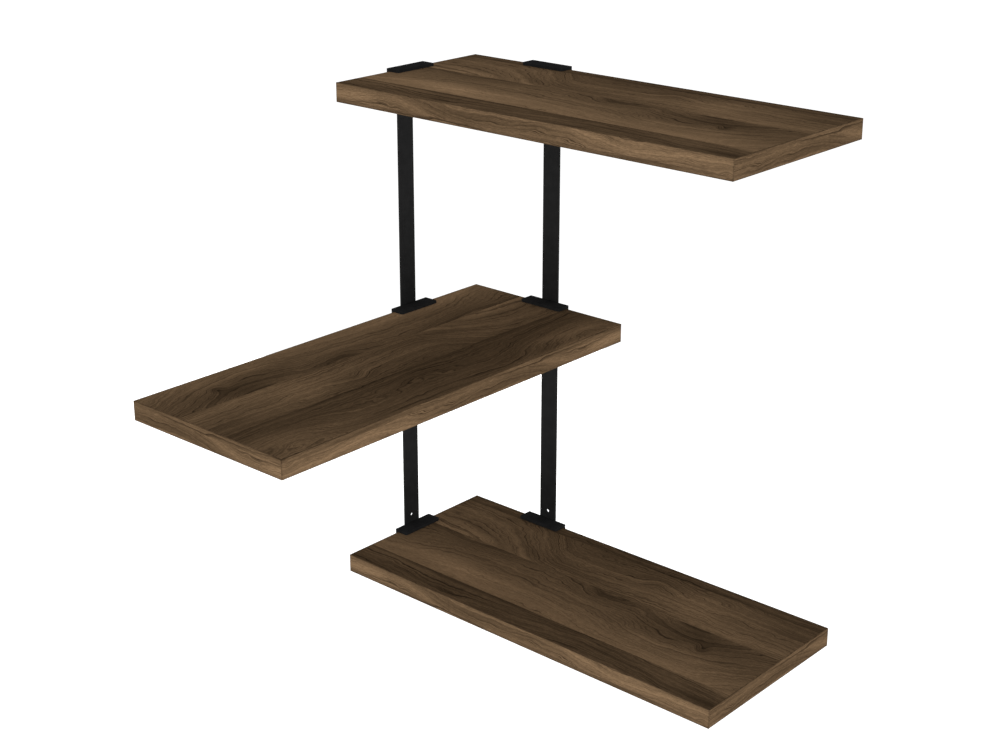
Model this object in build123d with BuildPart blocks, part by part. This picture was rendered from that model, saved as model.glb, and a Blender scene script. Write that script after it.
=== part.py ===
from build123d import *
import os

# Three-tier corner wall shelf.  Two flat steel strips, one on each wall of a room
# corner, carry welded U-shaped clips, and each board slides into one clip per wall.
# The bottom and top boards run along the right wall; the middle board is turned and
# runs along the left wall.
#
# Millimetres, +Z up.  The origin is the room corner at the height of the lowest
# clip's underside.  The right wall is the plane Y = 0 and the left wall the plane
# X = 0; the shelf stands in +X, -Y.

# Boards
BOARD_LENGTH = 600.0
BOARD_WIDTH = 260.0
BOARD_THICKNESS = 25.0
BOARD_PITCH = 328.0
BAND_THICKNESS = 1.0
BAND_ARRIS_RADIUS = 0.5

# Wall strips
STRIP_WIDTH = 27.5
STRIP_THICKNESS = 3.0
STRIP_CENTRE = 139.5            # from the room corner, along either wall
STRIP_END_INSET = 2.0           # strip end to the outer face of the end clip
STRIP_EDGE_RADIUS = 0.4

# Plain wall screw holes, one near each end of a strip
WALL_HOLE_RADIUS = 2.75
WALL_HOLE_TO_BOARD = 14.5       # hole centre to the nearest board face

# Clips
CLIP_WIDTH = 67.0
CLIP_THICKNESS = 4.0
CLIP_LIP = 17.0                 # how far each lip reaches over the board
CLIP_CORNER_RADIUS = 1.5
CLIP_EDGE_RADIUS = 0.4

# Shelf screws, driven up through each clip's lower lip
SCREW_LENGTH = 16.0
SCREW_RADIUS = 1.75
SCREW_HEAD_RADIUS = 3.5
SCREW_HEAD_RIM = 0.3
SCREW_TIP_LENGTH = 3.0
SCREW_SPACING = 40.0
SCREW_INSET = 9.0               # screw axis to the back edge of the board
SCREW_HOLE_RADIUS = 2.0
PILOT_CLEARANCE = 0.05
RECESS_SPAN = 3.8
RECESS_WIDTH = 0.9
RECESS_DEPTH = 1.5
RECESS_TAPER = 12.0

# Weld beads between a strip's sides and the backs of its clips
WELD_LEG = 2.5
WELD_LENGTH = 24.0
WELD_CROWN = 0.7                # crown of the bead, as a share of its leg, along each leg

# Worked out from the sizes above
STANDOFF = STRIP_THICKNESS + CLIP_THICKNESS
CLIP_HEIGHT = BOARD_THICKNESS + 2 * CLIP_THICKNESS
UNDERSIDES = {
    "bottom": CLIP_THICKNESS,
    "middle": CLIP_THICKNESS + BOARD_PITCH,
    "top": CLIP_THICKNESS + 2 * BOARD_PITCH,
}
TOTAL_HEIGHT = UNDERSIDES["top"] + BOARD_THICKNESS + CLIP_THICKNESS
SINK_RADIUS = SCREW_HEAD_RADIUS + SCREW_HEAD_RIM
TURNED = {"bottom": False, "middle": True, "top": False}

# Each wall: the strip's place at floor level, the way out of the wall, and the way
# along the wall that makes a right-handed set with "out" and "up"
WALLS = {
    "left": (Vector(0, -STRIP_CENTRE, 0), Vector(1, 0, 0), Vector(0, -1, 0)),
    "right": (Vector(STRIP_CENTRE, 0, 0), Vector(0, -1, 0), Vector(-1, 0, 0)),
}

os.makedirs("parts", exist_ok=True)


def save(piece, label):
    """Name a finished piece and write it to its own file."""
    piece.part.label = label
    export_step(piece.part, f"parts/{label}.step")


def section_plane(wall, height):
    """A plane across a strip: its x is out of the wall and its y is up."""
    foot, outward, along = WALLS[wall]
    return Plane(origin=foot + Vector(0, 0, height), x_dir=outward, z_dir=along)


def front_plane(wall, height, out):
    """A plane facing out of the wall: its x is along the wall and its y is up."""
    foot, outward, along = WALLS[wall]
    return Plane(origin=foot + outward * out + Vector(0, 0, height), x_dir=-along, z_dir=outward)


def under_plane(wall, height, out):
    """A plane facing down: its x is along the wall."""
    foot, outward, along = WALLS[wall]
    return Plane(origin=foot + outward * out + Vector(0, 0, height), x_dir=along, z_dir=(0, 0, -1))


def make_strip(wall):
    """A flat bar from the bottom clip to the top clip, with two plain screw holes."""
    length = TOTAL_HEIGHT - 2 * STRIP_END_INSET
    low_hole = UNDERSIDES["bottom"] + BOARD_THICKNESS + WALL_HOLE_TO_BOARD
    high_hole = UNDERSIDES["top"] - WALL_HOLE_TO_BOARD
    with BuildPart() as strip:
        with BuildSketch(section_plane(wall, STRIP_END_INSET + length / 2)):
            with Locations((STRIP_THICKNESS / 2, 0)):
                Rectangle(STRIP_THICKNESS, length)
        extrude(amount=STRIP_WIDTH / 2, both=True)
        fillet(strip.edges().filter_by(Axis.Z), STRIP_EDGE_RADIUS)
        for height in (low_hole, high_hole):
            with Locations(front_plane(wall, height, STRIP_THICKNESS)):
                Hole(WALL_HOLE_RADIUS, STRIP_THICKNESS)
    save(strip, f"{wall}_strip")


def make_clip(wall, level):
    """A U of plate, open away from the wall, that holds the back edge of a board."""
    underside = UNDERSIDES[level]
    back = STRIP_THICKNESS
    web = back + CLIP_THICKNESS
    front = web + CLIP_LIP
    half = CLIP_HEIGHT / 2
    inner = BOARD_THICKNESS / 2
    with BuildPart() as clip:
        with BuildSketch(section_plane(wall, underside + inner)):
            with BuildLine():
                Polyline(
                    (back, -half),
                    (front, -half),
                    (front, -inner),
                    (web, -inner),
                    (web, inner),
                    (front, inner),
                    (front, half),
                    (back, half),
                    close=True,
                )
            make_face()
        extrude(amount=CLIP_WIDTH / 2, both=True)
        outward = Axis(WALLS[wall][0], WALLS[wall][1])
        upright = clip.edges().filter_by(Axis.Z).group_by(outward)
        fillet(upright[-1], CLIP_CORNER_RADIUS)
        caps = clip.faces().filter_by(Axis.Z).sort_by(Axis.Z)
        fillet(caps[0].edges() + caps[-1].edges(), CLIP_EDGE_RADIUS)
        with Locations(under_plane(wall, underside - CLIP_THICKNESS, STANDOFF + SCREW_INSET)):
            with GridLocations(SCREW_SPACING, 0, 2, 1):
                CounterSinkHole(SCREW_HOLE_RADIUS, SINK_RADIUS, CLIP_THICKNESS, 90)
    save(clip, f"{wall}_{level}_clip")


def make_welds(wall):
    """Fillet welds in the corners between the strip's sides and the clips' backs."""
    foot, outward, along = WALLS[wall]
    crown = WELD_LEG * WELD_CROWN
    with BuildPart() as welds:
        for underside in UNDERSIDES.values():
            start = foot + Vector(0, 0, underside + (BOARD_THICKNESS - WELD_LENGTH) / 2)
            with BuildSketch(Plane(origin=start, x_dir=outward, z_dir=(0, 0, 1))):
                for side in (-1, 1):
                    edge = side * STRIP_WIDTH / 2
                    with BuildLine():
                        Polyline(
                            (STRIP_THICKNESS, edge),
                            (STRIP_THICKNESS, edge + side * WELD_LEG),
                            (STRIP_THICKNESS - crown, edge + side * crown),
                            (STRIP_THICKNESS - WELD_LEG, edge),
                            close=True,
                        )
                    make_face()
            extrude(amount=WELD_LENGTH)
    save(welds, f"{wall}_welds")


def plan_point(level, along, across):
    """X and Y of a point measured along a board's length and width from its back corner."""
    x, y = (across, along) if TURNED[level] else (along, across)
    return (STANDOFF + x, -STANDOFF - y)


def plan_size(level, along, across):
    """Size in X and Y of a rectangle given along a board's length and width."""
    return (across, along) if TURNED[level] else (along, across)


def make_board(level):
    """The faced chipboard panel, inside its edge bands, with pilot holes for its screws."""
    underside = UNDERSIDES[level]
    length = BOARD_LENGTH - 2 * BAND_THICKNESS
    width = BOARD_WIDTH - 2 * BAND_THICKNESS
    pilot_depth = SCREW_LENGTH - CLIP_THICKNESS + PILOT_CLEARANCE
    with BuildPart() as board:
        with BuildSketch(Plane.XY.offset(underside)):
            with Locations(plan_point(level, BOARD_LENGTH / 2, BOARD_WIDTH / 2)):
                Rectangle(*plan_size(level, length, width))
        extrude(amount=BOARD_THICKNESS)
        for wall in WALLS:
            with Locations(under_plane(wall, underside, STANDOFF + SCREW_INSET)):
                with GridLocations(SCREW_SPACING, 0, 2, 1):
                    Hole(SCREW_RADIUS + PILOT_CLEARANCE, pilot_depth)
    save(board, f"{level}_board")


def make_band(level, label, along, across, length, width):
    """An edge band with its outer arrises rounded; a long band also rounds the board's corners."""
    middle = plan_point(level, BOARD_LENGTH / 2, BOARD_WIDTH / 2)
    height = UNDERSIDES[level]
    with BuildPart() as edge_band:
        with BuildSketch(Plane.XY.offset(height)):
            with Locations(plan_point(level, along, across)):
                Rectangle(*plan_size(level, length, width))
        extrude(amount=BOARD_THICKNESS)
        broad_faces = edge_band.faces().sort_by(SortBy.AREA)[-2:]
        outer_face = broad_faces.sort_by_distance((*middle, height + BOARD_THICKNESS / 2))[-1]
        arrises = outer_face.edges()
        if length < BOARD_LENGTH:
            arrises = arrises.filter_by(Axis.Z, reverse=True)
        fillet(arrises, BAND_ARRIS_RADIUS)
    save(edge_band, f"{level}_{label}_band")


def make_bands(level):
    """Two long edge bands, and two short ones that fit between them."""
    half_band = BAND_THICKNESS / 2
    between = BOARD_WIDTH - 2 * BAND_THICKNESS
    for label, across in (("back", half_band), ("front", BOARD_WIDTH - half_band)):
        make_band(level, label, BOARD_LENGTH / 2, across, BOARD_LENGTH, BAND_THICKNESS)
    for label, along in (("wall_end", half_band), ("free_end", BOARD_LENGTH - half_band)):
        make_band(level, label, along, BOARD_WIDTH / 2, BAND_THICKNESS, between)


def make_screw():
    """A countersunk screw, head down, with its head's face in the plane Z = 0."""
    cone_end = SCREW_HEAD_RIM + SCREW_HEAD_RADIUS - SCREW_RADIUS
    with BuildPart() as screw:
        with BuildSketch(Plane.XZ):
            with BuildLine():
                Polyline(
                    (0, 0),
                    (SCREW_HEAD_RADIUS, 0),
                    (SCREW_HEAD_RADIUS, SCREW_HEAD_RIM),
                    (SCREW_RADIUS, cone_end),
                    (SCREW_RADIUS, SCREW_LENGTH - SCREW_TIP_LENGTH),
                    (0, SCREW_LENGTH),
                    close=True,
                )
            make_face()
        revolve(axis=Axis.Z)
        with BuildSketch(Plane.XY):
            Rectangle(RECESS_SPAN, RECESS_WIDTH)
            Rectangle(RECESS_WIDTH, RECESS_SPAN)
        extrude(amount=RECESS_DEPTH, taper=RECESS_TAPER, mode=Mode.SUBTRACT)
    return screw


def make_shelf_screws():
    """All the screws that hold the boards down on the clips' lower lips."""
    screw = make_screw()
    places = []
    for underside in UNDERSIDES.values():
        for foot, outward, along in WALLS.values():
            axis = foot + outward * (STANDOFF + SCREW_INSET) + Vector(0, 0, underside - CLIP_THICKNESS)
            places += [axis + along * side * SCREW_SPACING / 2 for side in (-1, 1)]
    with BuildPart() as shelf_screws:
        with Locations(*places):
            add(screw.part)
    save(shelf_screws, "shelf_screws")


for wall in WALLS:
    make_strip(wall)
    make_welds(wall)
    for level in UNDERSIDES:
        make_clip(wall, level)

for level in UNDERSIDES:
    make_board(level)
    make_bands(level)

make_shelf_screws()
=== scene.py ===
import math
from collections import namedtuple

import bpy
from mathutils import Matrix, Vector


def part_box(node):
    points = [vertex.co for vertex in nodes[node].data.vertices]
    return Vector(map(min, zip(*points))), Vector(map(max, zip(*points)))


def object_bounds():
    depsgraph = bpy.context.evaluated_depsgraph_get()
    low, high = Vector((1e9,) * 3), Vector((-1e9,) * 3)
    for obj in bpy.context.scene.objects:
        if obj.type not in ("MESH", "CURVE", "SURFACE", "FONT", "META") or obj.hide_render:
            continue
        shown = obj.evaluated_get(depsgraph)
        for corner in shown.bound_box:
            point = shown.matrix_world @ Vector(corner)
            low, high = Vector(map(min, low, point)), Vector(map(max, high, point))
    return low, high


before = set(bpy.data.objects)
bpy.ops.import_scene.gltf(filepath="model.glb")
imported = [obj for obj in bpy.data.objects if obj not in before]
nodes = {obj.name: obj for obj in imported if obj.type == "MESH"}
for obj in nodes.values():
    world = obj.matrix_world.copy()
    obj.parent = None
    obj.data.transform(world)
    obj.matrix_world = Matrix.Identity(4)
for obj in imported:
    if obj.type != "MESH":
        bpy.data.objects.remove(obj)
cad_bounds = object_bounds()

# The three-tier corner shelf stands in the row frame in metres: the room's corner is the Z axis, the
# right wall is the plane y = 0, the left wall is the plane x = 0, and the shelf lies at +x and -y of them.
LEVELS = ("bottom", "middle", "top")
WALLS = ("left", "right")
TURNED_LEVEL = "middle"          # this board runs along the left wall, and the others along the right wall
LONG_EDGES = ("front", "back")
BAND_PLACES = LONG_EDGES + ("wall_end", "free_end")
MM = 1000.0                      # millimetres in a metre: the wood pattern is drawn in millimetres


# ---------------------------------------------------------------- formulas as shader nodes

class Field:
    """A number that varies over a surface. Python's arithmetic on it adds Math nodes to its tree."""

    def __init__(self, tree, socket):
        self.tree = tree
        self.socket = socket

    def math(self, operation, *others, clamped=False):
        made = self.tree.nodes.new("ShaderNodeMath")
        made.operation = operation
        made.use_clamp = clamped
        for socket, value in zip(made.inputs, (self, *others)):
            feed(socket, value)
        return Field(self.tree, made.outputs[0])

    def __add__(self, other):
        return self.math("ADD", other)

    def __sub__(self, other):
        return self.math("SUBTRACT", other)

    def __mul__(self, other):
        return self.math("MULTIPLY", other)

    def __truediv__(self, other):
        return self.math("DIVIDE", other)

    def above(self, level):
        """1 where the field is above the level, and 0 elsewhere."""
        return self.math("GREATER_THAN", level)

    def ramp(self, low, high):
        """Rises evenly from 0 at low to 1 at high, and stays there. A low above high makes it fall."""
        gain = 1 / (high - low)
        return self.math("MULTIPLY_ADD", gain, -low * gain, clamped=True)

    def between(self, low, high):
        """The field, kept between two levels."""
        return self.math("MAXIMUM", low).math("MINIMUM", high)

    def noise(self, other, detail=1.0, roughness=0.5):
        """Cloudy noise from about -1 to 1, with clouds one unit across, over this field and another."""
        return self._noise(self.tree.point(self, other), None, "2D", detail, roughness)

    def noise_along(self, detail=1.0, roughness=0.5):
        """The same noise along this field alone."""
        return self._noise(None, self, "1D", detail, roughness)

    def _noise(self, point, along, dimensions, detail, roughness):
        made = self.tree.nodes.new("ShaderNodeTexNoise")
        made.noise_dimensions = dimensions
        inputs = {"Vector": point, "W": along, "Scale": 1.0, "Detail": detail, "Roughness": roughness}
        for name, value in inputs.items():
            if value is not None:
                feed(made.inputs[name], value)
        return Field(self.tree, made.outputs[0]).math("MULTIPLY_ADD", 2.0, -1.0)


def feed(socket, value):
    """Links a field to a socket, or sets the socket to a constant."""
    if isinstance(value, Field):
        value.tree.links.new(value.socket, socket)
    else:
        socket.default_value = value


class Tree:
    """A node tree of a material or a group, with the few nodes that the formulas start and end with."""

    def __init__(self, node_tree):
        self.nodes = node_tree.nodes
        self.links = node_tree.links

    def node(self, kind, **inputs):
        """A node with its inputs fed by name; an underscore in a name stands for a space."""
        made = self.nodes.new(kind)
        for name, value in inputs.items():
            feed(made.inputs[name.replace("_", " ")], value)
        return made

    def field(self, socket):
        return Field(self, socket)

    def point(self, x, y, z=0.0):
        """A vector of three fields or constants."""
        made = self.nodes.new("ShaderNodeCombineXYZ")
        for socket, value in zip(made.inputs, (x, y, z)):
            feed(socket, value)
        return Field(self, made.outputs[0])

    def axes(self, vector):
        """The three fields of a vector."""
        made = self.nodes.new("ShaderNodeSeparateXYZ")
        feed(made.inputs[0], vector)
        return [Field(self, out) for out in made.outputs]

    def vector_math(self, operation, *values):
        made = self.nodes.new("ShaderNodeVectorMath")
        made.operation = operation
        for socket, value in zip(made.inputs, values):
            feed(socket, value)
        return Field(self, made.outputs["Value" if operation == "DOT_PRODUCT" else "Vector"])

    def tint(self, colour, gain):
        """A colour made lighter or darker by a field."""
        made = self.nodes.new("ShaderNodeVectorMath")
        made.operation = "SCALE"
        feed(made.inputs[0], colour)
        feed(made.inputs["Scale"], gain)
        return Field(self, made.outputs[0])

    def place(self):
        """The row frame's x, y and z on the surface, in millimetres."""
        coordinates = self.nodes.new("ShaderNodeTexCoord")
        return [axis * MM for axis in self.axes(self.field(coordinates.outputs["Object"]))]

    def facing(self):
        """The surface's outward direction, as x, y and z."""
        coordinates = self.nodes.new("ShaderNodeTexCoord")
        return self.axes(self.field(coordinates.outputs["Normal"]))


def new_material(name):
    """An empty material, and its tree and surface output."""
    material = bpy.data.materials.new(name)
    material.use_nodes = True
    tree = Tree(material.node_tree)
    tree.nodes.clear()
    return material, tree, tree.nodes.new("ShaderNodeOutputMaterial")


# ---------------------------------------------------------------- walnut decor

# The boards are faced with a printed walnut pattern of four planks side by side. It is drawn in its own
# plane: s runs along the planks and t across them, in millimetres, and t is 0 at the joint between the
# arch plank and the knot plank. The grain follows the contour lines of a height, which is t itself raised
# and lowered by ovals: (s, t, reach along, reach across, height), with a growth ring every ring_spacing.
# The tones are ovals that lighten or darken the wood in the same way. The last two planks are on the edge
# bands alone: their rings are close and wander less, and the veins that the rings end in are bolder.
Plank = namedtuple("Plank", "start end ring_spacing wander veins shade_at_start shade_at_end hills tones")

PLANKS = (
    # Back plank
    Plank(-177, -82, 6.5, 0.75, 1.1, -0.2, -0.75,
          hills=((60, -150, 85, 40, -30), (215, -150, 80, 40, 16), (330, -110, 60, 22, -8),
                 (420, -140, 70, 26, 12), (560, -140, 70, 38, -30)),
          tones=((60, -146, 75, 20, 0.7), (110, -140, 36, 9, 0.45), (575, -135, 60, 22, 0.6),
                 (490, -150, 60, 20, 0.3), (300, -120, 150, 35, -0.2), (90, -176, 110, 6, 0.8),
                 (560, -178, 90, 6, 0.5))),
    # Arch plank
    Plank(-82, 0, 7.0, 0.9, 1.2, -0.32, 0.38,
          hills=((225, -60, 80, 160, -75), (345, -60, 95, 160, -72), (485, -60, 95, 160, -72),
                 (630, -60, 95, 160, -72), (372, -58, 24, 18, 12), (570, -88, 60, 34, -34)),
          tones=((290, -72, 110, 30, -0.4), (45, -74, 36, 9, 0.6), (95, -64, 50, 9, 0.4),
                 (30, -48, 60, 8, -0.2), (150, -60, 45, 24, 0.3), (440, -45, 60, 25, 0.4),
                 (585, -54, 40, 13, -0.45), (300, -9, 75, 10, -0.65), (55, -6, 50, 9, 0.5),
                 (210, -20, 50, 14, -0.45))),
    # Knot plank
    Plank(0, 98, 7.0, 0.85, 1, -0.2, 0.6,
          hills=((-10, 60, 85, 60, -34), (120, 2, 75, 14, -22), (330, 10, 45, 22, -18),
                 (470, 45, 110, 60, -30), (476, -8, 60, 34, -36), (512, 38, 10, 10, -16),
                 (620, 60, 60, 50, 26)),
          tones=((120, 9, 70, 10, -0.1), (330, 14, 34, 14, -0.3), (490, 13, 54, 17, -0.95),
                 (455, 38, 60, 14, -0.55), (512, 38, 9, 8, -0.8), (140, 70, 100, 18, 0.65),
                 (240, 16, 30, 12, 0.1), (575, 45, 50, 40, -0.25))),
    # Front plank
    Plank(98, 190, 5.5, 0.5, 1.3, -0.3, -0.75,
          hills=((150, 150, 140, 40, -10), (420, 120, 130, 40, 14)),
          tones=((60, 112, 80, 9, 0.35), (240, 101, 110, 6, -0.7), (430, 114, 60, 7, -0.5),
                 (540, 110, 60, 8, 0.1), (40, 129, 60, 6, -0.4), (590, 128, 50, 7, -0.9))),
    # Light and dark planks of the edge bands
    Plank(200, 219.5, 2.9, 0.5, 1.5, 0.2, 0.3,
          hills=((0, 205, 110, 200, 20), (110, 205, 70, 200, 16), (330, 206, 70, 30, 7),
                 (480, 217, 60, 30, -6)),
          tones=((20, 210, 60, 20, 0.3), (80, 202, 70, 6, -0.3), (225, 210, 60, 12, -0.55),
                 (320, 206, 60, 14, -0.2), (480, 203, 70, 8, 0.2))),
    Plank(219.5, 235, 2.9, 0.5, 1.2, -0.1, -0.2,
          hills=((180, 222, 120, 50, 8), (400, 222, 120, 50, -7)),
          tones=((190, 222, 30, 40, 0.3), (100, 222, 90, 40, 0.15), (500, 222, 60, 40, -0.3))),
)
PLANK_SEED = 37.0                # how far each plank's noise is from the last one's
INVERSE_E = math.exp(-1)


def add_ovals(tree, start, point, ovals):
    """A field with smooth oval hills added to it."""
    total = start
    for s, t, reach_s, reach_t, height in ovals:
        away = tree.vector_math("MULTIPLY_ADD", point, (1 / reach_s, 1 / reach_t, 0),
                                (-s / reach_s, -t / reach_t, 0))
        squared = tree.vector_math("DOT_PRODUCT", away, away)
        swell = tree.node("ShaderNodeMath")
        swell.operation = "POWER"
        feed(swell.inputs[0], INVERSE_E)
        feed(swell.inputs[1], squared)
        total = tree.field(swell.outputs[0]).math("MULTIPLY_ADD", height, total)
    return total


def plank_layout(tree, s, t):
    """The height and its wander, rings per mm, boldness of the veins, the tone and the plank's number."""
    point = tree.point(s, t)
    height, wander, rings, veins, tone, number = t, t * 0, t * 0, t * 0, t * 0, t * 0
    for index, plank in enumerate(PLANKS):
        inside = t.above(plank.start) * (t.above(plank.end) * -1 + 1)
        raised = add_ovals(tree, t * 0, point, plank.hills)
        height = height + raised * inside
        across = t.ramp(plank.start, plank.end)
        shade_change = plank.shade_at_end - plank.shade_at_start
        shade = across.math("MULTIPLY_ADD", shade_change, plank.shade_at_start)
        tone = tone + add_ovals(tree, shade, point, plank.tones) * inside
        wander = wander + inside * plank.wander
        rings = rings + inside * (1 / plank.ring_spacing)
        veins = veins + inside * plank.veins
        number = number + inside * index
    return height, wander, rings, veins, tone, number


# The contour lines wander in long, middling and short waves: noise with a reach along and across the
# plank and a height, in mm. The drift moves the middling waves along the plank.
Waves = namedtuple("Waves", "along across height detail")

LONG_WAVES = Waves(110, 40, 9, 1)
MIDDLING_WAVES = Waves(34, 14, 6, 1)
SHORT_WAVES = Waves(13, 7, 2.1, 1)
DRIFT = Waves(95, 34, 9, 2)

# Broad and narrow bands of tone follow the rings.
BROAD_BANDS_PER_RING = 0.33
BROAD_BAND_TONE = 0.5
NARROW_BANDS_PER_RING = 1.5
NARROW_BAND_TONE = 0.35

# A vein is a dark line that repeats with the rings, unevenly. It takes up its ring from start on, and it
# comes and goes in patches, between no line and the boldest.
Vein = namedtuple("Vein", "per_ring uneven_rate uneven_by start patch_along patch_across patch_detail"
                          " swing mean boldest tone")

RING_VEIN = Vein(per_ring=1, uneven_rate=0.45, uneven_by=1.3, start=0.64, patch_along=110, patch_across=9,
                 patch_detail=2, swing=2.4, mean=0.5, boldest=1.8, tone=1.15)
FINE_VEIN = Vein(per_ring=2.1, uneven_rate=0.9, uneven_by=0.9, start=0.35, patch_along=70, patch_across=25,
                 patch_detail=1, swing=1.6, mean=0.6, boldest=1.4, tone=0.5)
VEIN_DARKEST = 0.93              # share of the ring where a vein is darkest
VEIN_FADES = 0.91                # and where it starts to fade, up to the next ring

# Fine fibres and short dark pores run along the plank, bent by the figure, and clouds of tone lie over it.
FIBRE_LENGTH, FIBRE_WIDTH, FIBRE_BEND = 9, 1.5, 9
FIBRE_TONE = 0.7
PORE_LENGTH, PORE_WIDTH, PORE_BEND = 4, 0.9, 5
PORE_LEVEL = 0.2                 # the noise above this level is a pore
CLOUD_LENGTH, CLOUD_WIDTH = 120, 12
CLOUD_TONE = 0.35

# The figure is bold in dark wood and faint in light wood.
LIGHT_TONE, DARK_TONE = 1.1, -0.3
FAINTEST = 0.45
BOLDER_BY = 0.9

FIBRE_RELIEF = 0.5
VEIN_RELIEF = 0.3


def wander_in(waves, s, t, seed):
    return (s / waves.along + seed).noise(t / waves.across + seed, detail=waves.detail) * waves.height


def draw_vein(vein, ring, s, height, seed):
    uneven = (ring * vein.uneven_rate + seed).noise_along() * vein.uneven_by
    place = (ring * vein.per_ring + uneven).math("FRACT")
    line = place.ramp(vein.start, VEIN_DARKEST).math("POWER", 2.0) * place.ramp(1.0, VEIN_FADES)
    patches = (s / vein.patch_along + seed).noise(height / vein.patch_across + seed, vein.patch_detail)
    return line * (patches * vein.swing + vein.mean).between(0.0, vein.boldest) * vein.tone


def make_walnut_group():
    """The node group that gives the printed walnut's tone and relief at a place (s, t) of the pattern."""
    group = bpy.data.node_groups.new("printed_walnut", "ShaderNodeTree")
    for name, direction in (("s", "INPUT"), ("t", "INPUT"), ("tone", "OUTPUT"), ("relief", "OUTPUT")):
        group.interface.new_socket(name, in_out=direction, socket_type="NodeSocketFloat")
    tree = Tree(group)
    entry = tree.nodes.new("NodeGroupInput")
    s, t = (tree.field(out) for out in entry.outputs[:2])
    height, wander, rings, veins, tone, number = plank_layout(tree, s, t)
    seed = number * PLANK_SEED

    drifted = s + wander_in(DRIFT, s, t, seed)
    waves = wander_in(LONG_WAVES, s, t, seed) + wander_in(MIDDLING_WAVES, drifted, t, seed)
    waves = waves + wander_in(SHORT_WAVES, s, t, seed)
    height = height + waves * wander
    ring = height * rings

    bands = (ring * BROAD_BANDS_PER_RING + seed).noise_along(detail=1) * BROAD_BAND_TONE
    narrow_bands = (ring * NARROW_BANDS_PER_RING + seed).noise_along(detail=2, roughness=0.6)
    bands = bands + narrow_bands * NARROW_BAND_TONE
    lines = draw_vein(RING_VEIN, ring, s, height, seed) + draw_vein(FINE_VEIN, ring, s, height, seed)
    lines = lines * veins
    fibre = (s / FIBRE_LENGTH).noise(t / FIBRE_WIDTH + height / FIBRE_BEND, detail=2, roughness=0.8)
    pore = (s / PORE_LENGTH).noise(t / PORE_WIDTH + height / PORE_BEND, detail=1)
    pore = (pore - PORE_LEVEL).math("MAXIMUM", 0.0)
    cloud = (s / CLOUD_LENGTH + seed).noise(height / CLOUD_WIDTH + seed, detail=3, roughness=0.6)

    boldness = tone.ramp(LIGHT_TONE, DARK_TONE) * BOLDER_BY + FAINTEST
    tone = tone + (bands - lines) * boldness + fibre * FIBRE_TONE - pore + cloud * CLOUD_TONE
    leave = tree.nodes.new("NodeGroupOutput")
    feed(leave.inputs["tone"], tone)
    feed(leave.inputs["relief"], fibre * FIBRE_RELIEF - pore - lines * VEIN_RELIEF)
    return group


WALNUT_COLOUR = (0.110, 0.0700, 0.0387)
TONE_GAIN = 0.68                 # how much lighter the wood gets, as a natural logarithm, per unit of tone
WALNUT_ROUGHNESS = 0.5
ROUGHNESS_PER_RELIEF = -0.12
WALNUT_BUMP = {"Strength": 0.25, "Distance": 0.0002}


def walnut_surface(tree, s, t, shade):
    """A shader for the printed walnut at a place (s, t), lightened or darkened by a shade: painted light
    and shade on a board, a dark glue line on a band.
    """
    decor = tree.node("ShaderNodeGroup")
    decor.node_tree = walnut_group
    feed(decor.inputs["s"], s)
    feed(decor.inputs["t"], t)
    tone, relief = tree.field(decor.outputs["tone"]), tree.field(decor.outputs["relief"])
    colour = tree.tint(WALNUT_COLOUR, ((tone + shade) * TONE_GAIN).math("EXPONENT"))
    bump = tree.node("ShaderNodeBump", Height=relief, **WALNUT_BUMP)
    return tree.node("ShaderNodeBsdfPrincipled", Base_Color=colour, Normal=tree.field(bump.outputs[0]),
                     Roughness=relief * ROUGHNESS_PER_RELIEF + WALNUT_ROUGHNESS, Specular_IOR_Level=0.0)


walnut_group = make_walnut_group()


# ---------------------------------------------------------------- boards and edge bands

class Print(namedtuple("Print", "s_start s_way t_start t_way")):
    """Where the pattern lies on a face.

    On a board, along is measured from its wall end and across from its back edge. On a band, along is
    measured along the edge and across down from the board's top face.
    """

    def lay(self, along, across):
        """The place (s, t) of the pattern at a place of the face."""
        return along * self.s_way + self.s_start, across * self.t_way + self.t_start


BOARD_PRINTS = {
    "bottom": Print(0, 1, -99.4, 0.91),
    "middle": Print(0, 1, 84, -1),
    "top": Print(0, 1, -99.4, 0.91),
}
BOARD_PAINTED_LIGHT_AND_SHADE = {                 # painted light and shade: how much lighter each board is painted than the pattern, for how the light falls on it
    "bottom": -0.08,
    "middle": -0.05,
    "top": 0.13,
}
UNDERSIDE_SHIFTS = {             # the undersides show other stretches of the same pattern
    "bottom": (170, -61),
    "middle": (40, 100),
    "top": (110, -61),
}
BAND_PRINTS = {
    "front": Print(0, 1, 200, 1),
    "back": Print(600, -1, 200, 1),
    "wall_end": Print(330, 1, 227, -1),
    "free_end": Print(115, 1, 227, -1),
}
TURNED_BAND_PRINTS = {
    "front": Print(0, 1, 227, -1),
    "back": Print(600, -1, 227, -1),
    "wall_end": Print(330, 1, 200, 1),
    "free_end": Print(300, -1, 227, -1),
}
SEAM_WIDTH = 1.3                 # mm of dark glue line round the border of each edge band
SEAM_CORE = 0.3                  # mm of it that is darkest
SEAM_SHADE = -0.6


def board_box(level):
    """The whole board's lowest and highest corners, its edge bands included."""
    boxes = [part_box(f"{level}_{place}_band") for place in BAND_PLACES]
    low = Vector(map(min, zip(*(low for low, high in boxes))))
    high = Vector(map(max, zip(*(high for low, high in boxes))))
    return low, high


def board_axes(tree, level):
    """How far a place is from the board's wall end, from its back edge and below its top face, in mm."""
    low, high = board_box(level)
    x, y, z = tree.place()
    from_left, from_right = x - low.x * MM, y * -1 + high.y * MM
    below = z * -1 + high.z * MM
    if level == TURNED_LEVEL:
        return from_right, from_left, below
    return from_left, from_right, below


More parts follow.
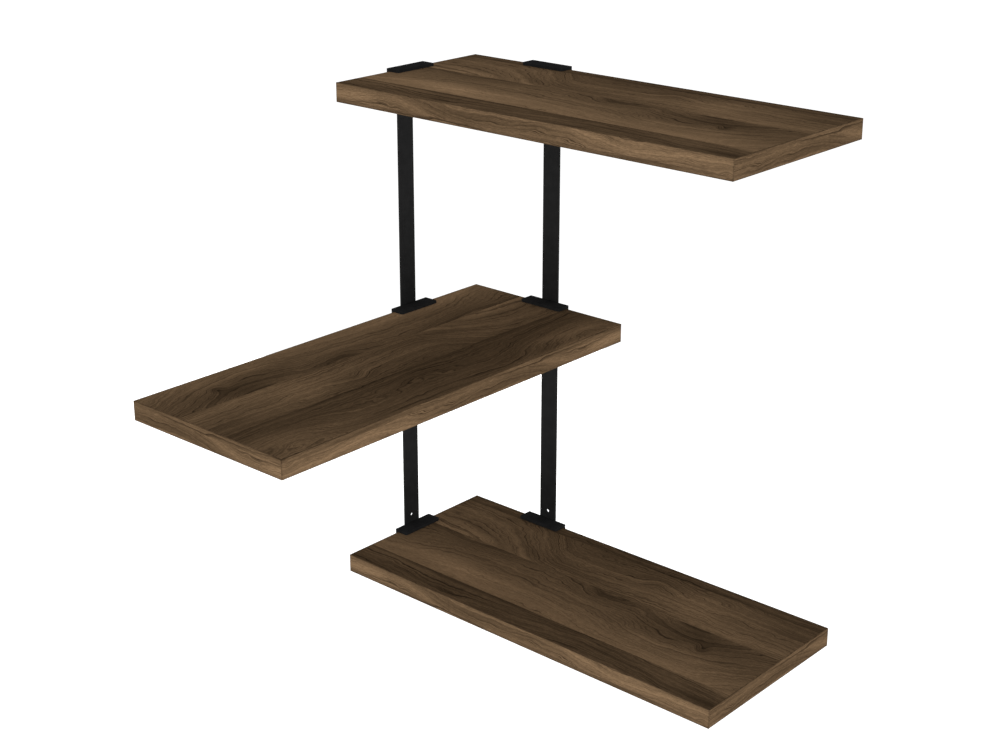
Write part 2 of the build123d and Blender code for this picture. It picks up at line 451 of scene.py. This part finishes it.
def make_board_material(level):
    material, tree, output = new_material(f"{level}_board_walnut")
    along, across, _ = board_axes(tree, level)
    s, t = BOARD_PRINTS[level].lay(along, across)
    underneath = tree.facing()[2].ramp(0.1, -0.1)
    shift_s, shift_t = UNDERSIDE_SHIFTS[level]
    # the board's painted light or shade is added to the pattern's tone here
    shader = walnut_surface(tree, s + underneath * shift_s, t + underneath * shift_t, BOARD_PAINTED_LIGHT_AND_SHADE[level])
    tree.links.new(shader.outputs[0], output.inputs["Surface"])
    return material


def make_band_material(level, place):
    material, tree, output = new_material(f"{level}_{place}_band_walnut")
    along, across, below = board_axes(tree, level)
    low, high = board_box(level)
    width, length, thickness = sorted((high - low)[:2]) + [high.z - low.z]
    along_edge, edge_length = (along, length) if place in LONG_EDGES else (across, width)
    prints = TURNED_BAND_PRINTS if level == TURNED_LEVEL else BAND_PRINTS
    s, t = prints[place].lay(along_edge, below)
    from_border = below.math("MINIMUM", below * -1 + thickness * MM)
    from_border = from_border.math("MINIMUM", along_edge)
    from_border = from_border.math("MINIMUM", along_edge * -1 + edge_length * MM)
    shader = walnut_surface(tree, s, t, from_border.ramp(SEAM_WIDTH, SEAM_CORE) * SEAM_SHADE)
    tree.links.new(shader.outputs[0], output.inputs["Surface"])
    return material


# ---------------------------------------------------------------- steel

# The bars and the clips are one black powder coat in two copies with painted light and shade: the clips
# are painted lighter than the bars, for how the light falls on the flat clips and the upright bars.
BAR_COAT_WITH_PAINTED_SHADE = (0.0119, 0.0119, 0.0120)
PLATE_COAT_WITH_PAINTED_LIGHT = (0.0139, 0.0139, 0.0142)
SCREW_COLOUR = (0.02, 0.02, 0.021)
PEEL_SCALE = 900.0               # grains of orange peel in a metre
PEEL_BUMP = {"Strength": 0.5, "Distance": 0.0003}
GRIT_SCALE = 90.0                # patches of uneven tone and gloss in a metre
LEAST_TINT = 0.6
TINT_SPREAD = 0.8
ROUGHNESS_SPREAD = 0.2           # about half of it on each side of a coat's roughness


def make_powder_coat(name, colour, roughness, specular):
    """Black powder coat: a fine orange-peel bump, and slightly uneven tone and gloss."""
    material, tree, output = new_material(name)
    coordinates = tree.nodes.new("ShaderNodeTexCoord")
    place = tree.field(coordinates.outputs["Object"])
    peel = tree.node("ShaderNodeTexNoise", Vector=place, Scale=PEEL_SCALE, Detail=2.0, Roughness=0.5)
    bump = tree.node("ShaderNodeBump", Height=tree.field(peel.outputs[0]), **PEEL_BUMP)
    noise = tree.node("ShaderNodeTexNoise", Vector=place, Scale=GRIT_SCALE, Detail=3.0, Roughness=0.6)
    grit = tree.field(noise.outputs[0])
    least_roughness = roughness - ROUGHNESS_SPREAD / 2
    shader = tree.node("ShaderNodeBsdfPrincipled", Normal=tree.field(bump.outputs[0]),
                       Base_Color=tree.tint(colour, grit.math("MULTIPLY_ADD", TINT_SPREAD, LEAST_TINT)),
                       Roughness=grit.math("MULTIPLY_ADD", ROUGHNESS_SPREAD, least_roughness),
                       Specular_IOR_Level=specular)
    tree.links.new(shader.outputs[0], output.inputs["Surface"])
    return material


def assign(node_name, material):
    """Gives one material to every slot of a CAD node."""
    for slot in nodes[node_name].material_slots:
        slot.link = "OBJECT"
        slot.material = material


def finish_shelf():
    """Gives every CAD node its material."""
    for level in LEVELS:
        assign(f"{level}_board", make_board_material(level))
        for place in BAND_PLACES:
            assign(f"{level}_{place}_band", make_band_material(level, place))
    # the same coat twice, painted darker on the bars and lighter on the clips, for how the light falls on
    # them
    bar_coat_with_painted_shade = make_powder_coat("black_coat_with_painted_shade", BAR_COAT_WITH_PAINTED_SHADE, roughness=0.5, specular=0.03)
    plate_coat_with_painted_light = make_powder_coat("black_coat_with_painted_light", PLATE_COAT_WITH_PAINTED_LIGHT, roughness=0.5, specular=0.0)
    for wall in WALLS:
        assign(f"{wall}_strip", bar_coat_with_painted_shade)
        assign(f"{wall}_welds", bar_coat_with_painted_shade)
        for level in LEVELS:
            assign(f"{wall}_{level}_clip", plate_coat_with_painted_light)
    assign("shelf_screws", make_powder_coat("black_screw", SCREW_COLOUR, roughness=0.35, specular=0.3))


# ---------------------------------------------------------------- studio

FLOOR_HALF = 40.0
FLOOR_DROP = 1.0                 # the shelf hangs this far above the floor
FLOOR_TONE = 0.9
FLOOR_GLOW = 0.38
AMBIENT = 0.78                   # light from the surround, where 1 is what the camera sees
LIGHT_DISTANCE = 4.0
LIGHT_SIZE = 2.4
# The heading is in degrees from +x towards -y, so the key shines from the room and the fill on the wall
# side, a little from below.
SoftLight = namedtuple("SoftLight", "name power heading elevation")
LIGHTS = (
    SoftLight("key", 120.0, 45.0, 6.0),
    SoftLight("fill", 50.0, 225.0, -8.0),
)


def make_floor():
    mesh = bpy.data.meshes.new("floor")
    corners = [(x * FLOOR_HALF, y * FLOOR_HALF, -FLOOR_DROP)
               for x, y in ((-1, -1), (1, -1), (1, 1), (-1, 1))]
    mesh.from_pydata(corners, [], [(0, 1, 2, 3)])
    floor = bpy.data.objects.new("floor", mesh)
    bpy.context.scene.collection.objects.link(floor)
    material, tree, output = new_material("pale_floor")
    shader = tree.node("ShaderNodeBsdfPrincipled", Roughness=0.9, Emission_Strength=FLOOR_GLOW,
                       Base_Color=(FLOOR_TONE, FLOOR_TONE, FLOOR_TONE, 1), Emission_Color=(1, 1, 1, 1))
    tree.links.new(shader.outputs[0], output.inputs["Surface"])
    mesh.materials.append(material)


def make_world():
    """An even pale surround, white to the camera."""
    world = bpy.data.worlds.new("studio")
    world.use_nodes = True
    bpy.context.scene.world = world
    tree = Tree(world.node_tree)
    background = tree.nodes["Background"]
    seen = tree.nodes.new("ShaderNodeLightPath")
    strength = tree.field(seen.outputs["Is Camera Ray"]).math("MULTIPLY_ADD", 1 - AMBIENT, AMBIENT)
    feed(background.inputs["Color"], (1, 1, 1, 1))
    feed(background.inputs["Strength"], strength)


def make_lights():
    low, high = cad_bounds
    for soft in LIGHTS:
        light = bpy.data.lights.new(soft.name, "AREA")
        light.size = LIGHT_SIZE
        light.energy = soft.power
        lamp = bpy.data.objects.new(soft.name, light)
        bpy.context.scene.collection.objects.link(lamp)
        elevation, heading = math.radians(soft.elevation), math.radians(soft.heading)
        level_part = math.cos(elevation)
        outward = Vector((level_part * math.cos(heading), -level_part * math.sin(heading),
                          math.sin(elevation)))
        lamp.location = (low + high) / 2 + outward * LIGHT_DISTANCE
        lamp.rotation_euler = outward.to_track_quat("Z", "Y").to_euler()


CAMERA_PLACE = (1.6064, -1.7612, 1.1226)
CAMERA_TURN = (71.172, 0.0, 41.736)   # degrees: up from straight down, roll, heading
LENS = 63.304
SHIFT = (0.0056, -0.0619)


def make_camera():
    camera = bpy.data.objects.new("camera", bpy.data.cameras.new("camera"))
    bpy.context.scene.collection.objects.link(camera)
    camera.location = CAMERA_PLACE
    camera.rotation_euler = [math.radians(angle) for angle in CAMERA_TURN]
    camera.data.lens = LENS
    camera.data.shift_x, camera.data.shift_y = SHIFT
    bpy.context.scene.camera = camera


finish_shelf()
make_floor()
make_world()
make_lights()
make_camera()
bpy.context.scene.view_settings.view_transform = "Standard"
